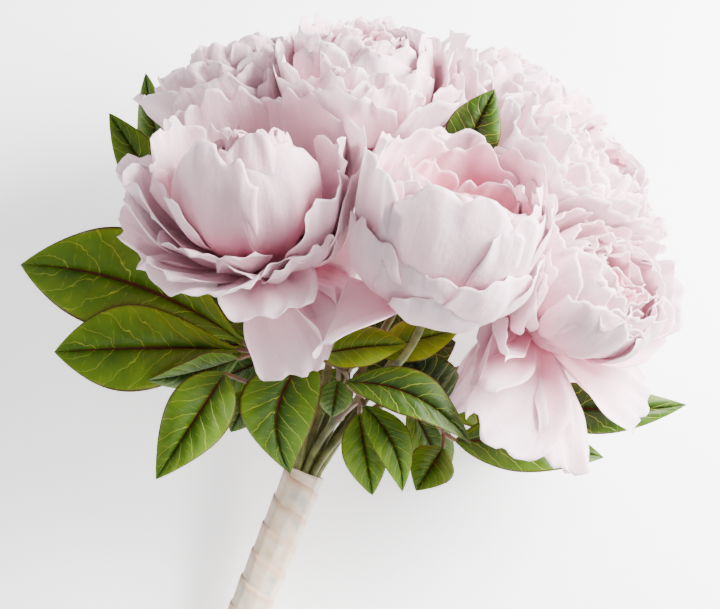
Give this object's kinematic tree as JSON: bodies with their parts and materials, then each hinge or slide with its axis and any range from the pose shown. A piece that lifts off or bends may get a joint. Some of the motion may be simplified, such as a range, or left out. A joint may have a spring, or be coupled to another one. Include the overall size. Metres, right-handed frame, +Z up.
{
  "type": "bunch of artificial peonies",
  "caption": "Round hand-tied bunch of pale pink fabric peonies with divided green leaves on bare stems, its handle wound with ivory ribbon, lying on its side.",
  "frame": {"origin": "middle of the bounding box's bottom face, on the surface that the bunch lies on", "axes": "+Z up from the surface, +Y from the cut stem ends towards the blooms, +X to the right as seen from above with the blooms away from the viewer"},
  "size_m": [0.3502, 0.3786, 0.2357],
  "materials": {
    "petals": "matte printed polyester cloth, pink at the base and near white at the tip",
    "leaves": "satin coated polyester cloth, veins printed paler, edges and midribs brown red",
    "stems": "moulded polyethylene over wire, matt",
    "ribbon": "ivory satin weave"
  },
  "bodies": {
    "root": {"bloom_front_left": "petals", "bloom_front_middle": "petals", "bloom_front_right": "petals", "bloom_top_left": "petals", "bloom_top_middle": "petals", "bloom_top_back": "petals", "bloom_top_right": "petals", "bloom_back_left": "petals", "bloom_back_middle": "petals", "bloom_back_right": "petals", "stem_front_left": "stems", "stem_front_middle": "stems", "stem_front_right": "stems", "stem_top_left": "stems", "stem_top_middle": "stems", "stem_top_back": "stems", "stem_top_right": "stems", "stem_back_left": "stems", "stem_back_middle": "stems", "stem_back_right": "stems", "leaves_left_front": "leaves", "leaves_left_hanging": "leaves", "leaves_left_behind": "leaves", "leaves_front_hanging": "leaves", "leaves_middle_hanging": "leaves", "leaves_right_low": "leaves", "leaves_right_high": "leaves", "leaves_between_tops": "leaves", "leaves_left_top": "leaves", "leaves_back_left": "leaves", "leaves_back_middle": "leaves", "leaves_back_right": "leaves", "ribbon": "ribbon"}
  },
  "joints": []
}
